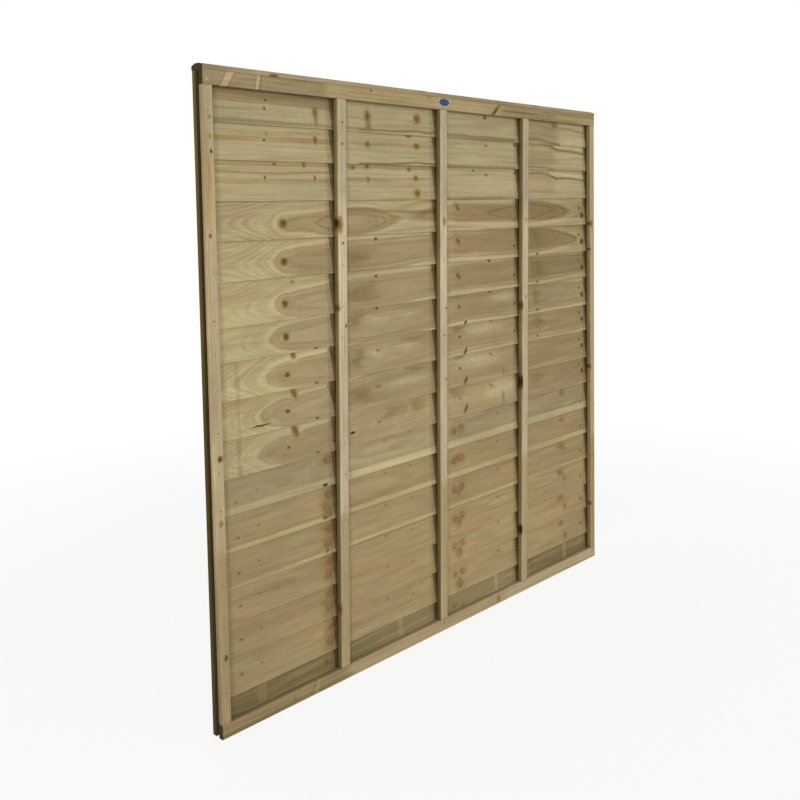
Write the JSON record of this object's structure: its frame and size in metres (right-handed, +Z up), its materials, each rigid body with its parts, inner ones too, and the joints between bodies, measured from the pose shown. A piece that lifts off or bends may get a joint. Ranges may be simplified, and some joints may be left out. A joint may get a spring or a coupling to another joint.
{
  "type": "fence panel",
  "caption": "Square overlap fence panel: thin lapped horizontal slats clamped between front and rear softwood frames with upright battens, under a bevelled capping strip.",
  "frame": {"origin": "centre of the panel's footprint, at the underside of the bottom rails", "axes": "+X along the panel towards its right end seen from the front, +Y from the front face to the back, +Z up"},
  "size_m": [1.83, 0.0508, 1.83],
  "materials": {
    "frame_timber": "fine sawn, treated softwood",
    "slat_timber": "rough sawn, treated softwood, greenish brown",
    "galvanised_nail": "dull galvanised",
    "tag_plastic": "smooth blue, left blank"
  },
  "bodies": {
    "root": {"top_cap": "frame_timber", "front_top_rail": "frame_timber", "front_bottom_rail": "frame_timber", "front_left_stile": "frame_timber", "front_right_stile": "frame_timber", "front_batten_1": "frame_timber", "front_batten_2": "frame_timber", "front_batten_3": "frame_timber", "rear_left_stile": "frame_timber", "rear_right_stile": "frame_timber", "rear_top_rail": "frame_timber", "rear_bottom_rail": "frame_timber", "rear_batten_1": "frame_timber", "rear_batten_2": "frame_timber", "rear_batten_3": "frame_timber", "slat_01": "slat_timber", "slat_02": "slat_timber", "slat_03": "slat_timber", "slat_04": "slat_timber", "slat_05": "slat_timber", "slat_06": "slat_timber", "slat_07": "slat_timber", "slat_08": "slat_timber", "slat_09": "slat_timber", "slat_10": "slat_timber", "slat_11": "slat_timber", "slat_12": "slat_timber", "slat_13": "slat_timber", "slat_14": "slat_timber", "slat_15": "slat_timber", "slat_16": "slat_timber", "slat_17": "slat_timber", "rail_nails": "galvanised_nail", "oval_tag": "tag_plastic"}
  },
  "joints": []
}
